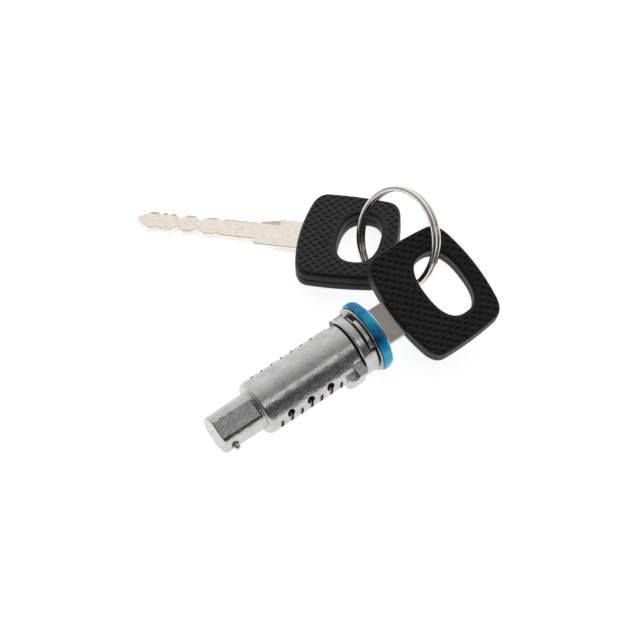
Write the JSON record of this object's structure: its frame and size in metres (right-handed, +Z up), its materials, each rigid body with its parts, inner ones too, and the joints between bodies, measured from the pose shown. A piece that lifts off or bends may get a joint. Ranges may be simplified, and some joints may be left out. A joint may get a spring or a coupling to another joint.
{
  "type": "lock barrel with keys",
  "caption": "Lock barrel with sprung wafers, a collar and a blue front ring, with a key in it and a spare key on a split ring.",
  "frame": {"origin": "centre of the flat end face of the barrel's tail", "axes": "+Z up from the surface that the object lies on; the lock's axis, seen from above, runs along +X from its tail to its key, and rises 4.5 degrees"},
  "size_m": [0.0909, 0.0968, 0.0278],
  "materials": {
    "zinc": "satin die-cast zinc",
    "nickel": "bright nickel plate",
    "blade": "nickel silver, satin",
    "brass": "dull brass",
    "spring_steel": "spring wire",
    "light_ring": "translucent blue plastic",
    "black_plastic": "moulded black plastic with a dimpled grip"
  },
  "bodies": {
    "barrel": {"barrel_casting": "zinc", "face_cap": "nickel", "tail_pin_spring": "spring_steel", "wafer_spring_1": "spring_steel", "wafer_spring_2": "spring_steel", "wafer_spring_3": "spring_steel", "wafer_spring_4": "spring_steel", "wafer_spring_5": "spring_steel", "wafer_spring_6": "spring_steel", "wafer_spring_7": "spring_steel"},
    "front_rings": {"mounting_collar": "zinc", "front_washer": "nickel", "light_ring": "light_ring"},
    "tail_pin": {"tail_pin": "spring_steel"},
    "wafer_1": {"wafer_1": "brass"},
    "wafer_2": {"wafer_2": "brass"},
    "wafer_3": {"wafer_3": "brass"},
    "wafer_4": {"wafer_4": "brass"},
    "wafer_5": {"wafer_5": "brass"},
    "wafer_6": {"wafer_6": "brass"},
    "wafer_7": {"wafer_7": "brass"},
    "key_1": {"key_1_blade": "blade", "key_1_head_front": "black_plastic", "key_1_head_back": "black_plastic"},
    "split_ring": {"split_ring": "nickel"},
    "key_2": {"key_2_blade": "blade", "key_2_head_front": "black_plastic", "key_2_head_back": "black_plastic"}
  },
  "joints": [
    {"name": "barrel_turn", "type": "hinge", "parent": "barrel", "child": "front_rings", "pos_m": [0.04785, 0, 0.00377], "axis": [0.9969, 0, 0.0785], "range_deg": [0, 105]},
    {"name": "key_1_insert", "type": "slide", "parent": "barrel", "child": "key_1", "axis": [0.9969, 0, 0.0785], "range_m": [0, 0.047]},
    {"name": "tail_pin_push", "type": "slide", "parent": "barrel", "child": "tail_pin", "axis": [0.006, 0.9971, -0.0765], "range_m": [0, 0.0013], "stiffness_N_per_m": 500, "springref_m": -0.001, "deforming": ["tail_pin_spring"]},
    {"name": "ring_run", "type": "hinge", "parent": "key_1", "child": "split_ring", "pos_m": [0.0786, 0.0203, 0.0071], "axis": [-0.8413, 0.021, 0.5402], "range_deg": [-60, 0]},
    {"name": "key_2_swing", "type": "hinge", "parent": "split_ring", "child": "key_2", "pos_m": [0.07387, 0.03201, -0.00064], "axis": [0, 0, 1], "range_deg": [-60, 40]},
    {"name": "wafer_1_drop", "type": "slide", "parent": "barrel", "child": "wafer_1", "axis": [0.0211, -0.9632, -0.2681], "range_m": [0, 0.0008], "deforming": ["wafer_spring_1"]},
    {"name": "wafer_2_drop", "type": "slide", "parent": "barrel", "child": "wafer_2", "axis": [-0.0211, 0.9632, 0.2681], "range_m": [0, 0.0008], "deforming": ["wafer_spring_2"]},
    {"name": "wafer_3_drop", "type": "slide", "parent": "barrel", "child": "wafer_3", "axis": [0.0211, -0.9632, -0.2681], "range_m": [0, 0.0008], "deforming": ["wafer_spring_3"]},
    {"name": "wafer_4_drop", "type": "slide", "parent": "barrel", "child": "wafer_4", "axis": [-0.0211, 0.9632, 0.2681], "range_m": [0, 0.0008], "deforming": ["wafer_spring_4"]},
    {"name": "wafer_5_drop", "type": "slide", "parent": "barrel", "child": "wafer_5", "axis": [0.0211, -0.9632, -0.2681], "range_m": [0, 0.0008], "deforming": ["wafer_spring_5"]},
    {"name": "wafer_6_drop", "type": "slide", "parent": "barrel", "child": "wafer_6", "axis": [-0.0211, 0.9632, 0.2681], "range_m": [0, 0.0008], "deforming": ["wafer_spring_6"]},
    {"name": "wafer_7_drop", "type": "slide", "parent": "barrel", "child": "wafer_7", "axis": [0.0211, -0.9632, -0.2681], "range_m": [0, 0.0008], "deforming": ["wafer_spring_7"]}
  ],
  "couplings": [
    {"joint": "wafer_1_drop", "follows": "key_1_insert", "ratio": 0.017021},
    {"joint": "wafer_2_drop", "follows": "key_1_insert", "ratio": 0.017021},
    {"joint": "wafer_3_drop", "follows": "key_1_insert", "ratio": 0.017021},
    {"joint": "wafer_4_drop", "follows": "key_1_insert", "ratio": 0.017021},
    {"joint": "wafer_5_drop", "follows": "key_1_insert", "ratio": 0.017021},
    {"joint": "wafer_6_drop", "follows": "key_1_insert", "ratio": 0.017021},
    {"joint": "wafer_7_drop", "follows": "key_1_insert", "ratio": 0.017021}
  ]
}
